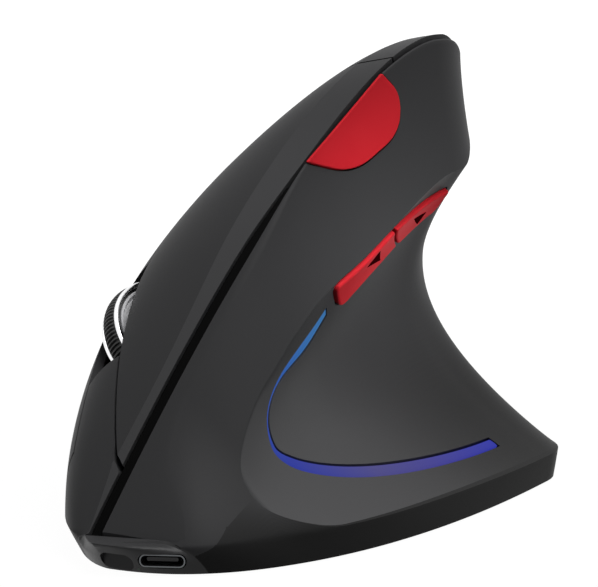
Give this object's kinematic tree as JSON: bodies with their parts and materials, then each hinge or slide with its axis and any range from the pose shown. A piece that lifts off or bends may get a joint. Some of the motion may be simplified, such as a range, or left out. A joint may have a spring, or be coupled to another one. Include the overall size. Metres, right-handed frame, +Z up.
{
  "type": "vertical ergonomic mouse",
  "caption": "Right-hand vertical computer mouse with a thumb hollow, light strip, red side buttons and cap, hinged click plates and a scroll wheel that turns and presses in.",
  "frame": {"origin": "centre of the footprint on the table, z = 0 under the glide feet", "axes": "-Y is the front (nose and port), +X the thumb side, -X the finger side, +Z up"},
  "size_m": [0.0654, 0.112, 0.0763],
  "materials": {
    "shell": "fine matte texture, charcoal",
    "band": "smooth black, recessed",
    "bezel": "satin dark grey",
    "base": "matte black",
    "glide": "slick white fluoropolymer",
    "red": "satin red",
    "light": "blue light-guide, lit",
    "tyre": "ribbed black rubber",
    "ring": "bright chrome",
    "hub": "silver painted",
    "steel": "plain steel",
    "inner": "black moulding",
    "board": "green circuit board",
    "part": "electronic part",
    "plunger": "ivory",
    "encoder": "olive",
    "lens": "clear plastic lens",
    "cell": "foil pouch",
    "led": "white package"
  },
  "bodies": {
    "body": {"thumb_shell": "shell", "finger_shell": "shell", "ridge_band": "band", "front_bezel": "bezel", "base_plate": "base", "glide_feet": "glide", "light_guide": "light", "wheel_switch": "part", "button_board": "board", "board_bracket": "inner", "left_switch": "part", "right_switch": "part", "side_board": "board", "side_switches": "part", "side_posts": "inner", "dpi_board": "board", "dpi_switch": "part", "dpi_post": "inner", "main_board": "board", "board_screws": "steel", "base_screws": "steel", "sensor_chip": "part", "sensor_lens": "lens", "battery": "cell", "strip_led": "led", "usb_socket": "steel", "usb_board": "board", "power_switch": "part"},
    "left_button": {"left_button": "shell"},
    "right_button": {"right_button": "shell"},
    "left_plunger": {"left_plunger": "plunger"},
    "right_plunger": {"right_plunger": "plunger"},
    "wheel_cradle": {"wheel_cradle": "inner", "wheel_encoder": "encoder"},
    "wheel": {"wheel_tyre": "tyre", "wheel_rings": "ring", "wheel_hub": "hub", "wheel_axle": "steel"},
    "forward_button": {"forward_button": "red"},
    "back_button": {"back_button": "red"},
    "dpi_button": {"dpi_button": "red"},
    "power_slider": {"power_slider": "glide"}
  },
  "joints": [
    {"name": "left_click", "type": "hinge", "parent": "body", "child": "left_button", "pos_m": [-0.00252, 0.0181, 0.06322], "axis": [0.9439, 0, 0.3304], "range_deg": [0, 0.6], "stiffness_Nm_per_rad": 2.8},
    {"name": "right_click", "type": "hinge", "parent": "body", "child": "right_button", "pos_m": [-0.02329, 0.0181, 0.03121], "axis": [0.3308, 0, 0.9437], "range_deg": [0, 0.7], "stiffness_Nm_per_rad": 1.8},
    {"name": "left_plunge", "type": "slide", "parent": "body", "child": "left_plunger", "axis": [0.6787, 0.4932, -0.5442], "range_m": [0, 0.0007]},
    {"name": "right_plunge", "type": "slide", "parent": "body", "child": "right_plunger", "axis": [0.6787, 0.4932, -0.5442], "range_m": [0, 0.0007]},
    {"name": "wheel_press", "type": "slide", "parent": "body", "child": "wheel_cradle", "axis": [0.6787, 0.4932, -0.5442], "range_m": [0, 0.0006], "stiffness_N_per_m": 2000},
    {"name": "wheel_spin", "type": "hinge", "parent": "wheel_cradle", "child": "wheel", "pos_m": [-0.01482, -0.01527, 0.02799], "axis": [0.6991, -0.2068, 0.6845], "continuous": true},
    {"name": "forward_press", "type": "slide", "parent": "body", "child": "forward_button", "axis": [-0.84, -0.1397, 0.5243], "range_m": [0, 0.0005], "stiffness_N_per_m": 2000},
    {"name": "back_press", "type": "slide", "parent": "body", "child": "back_button", "axis": [-0.84, -0.1397, 0.5243], "range_m": [0, 0.0005], "stiffness_N_per_m": 2000},
    {"name": "dpi_press", "type": "slide", "parent": "body", "child": "dpi_button", "axis": [-0.95, 0.2693, -0.1578], "range_m": [0, 0.0005], "stiffness_N_per_m": 2000},
    {"name": "power_slide", "type": "slide", "parent": "body", "child": "power_slider", "axis": [1, 0, 0], "range_m": [0, 0.003]}
  ],
  "couplings": [
    {"joint": "left_plunge", "follows": "left_click", "m_per_rad": 0.0457},
    {"joint": "right_plunge", "follows": "right_click", "m_per_rad": 0.0327}
  ]
}
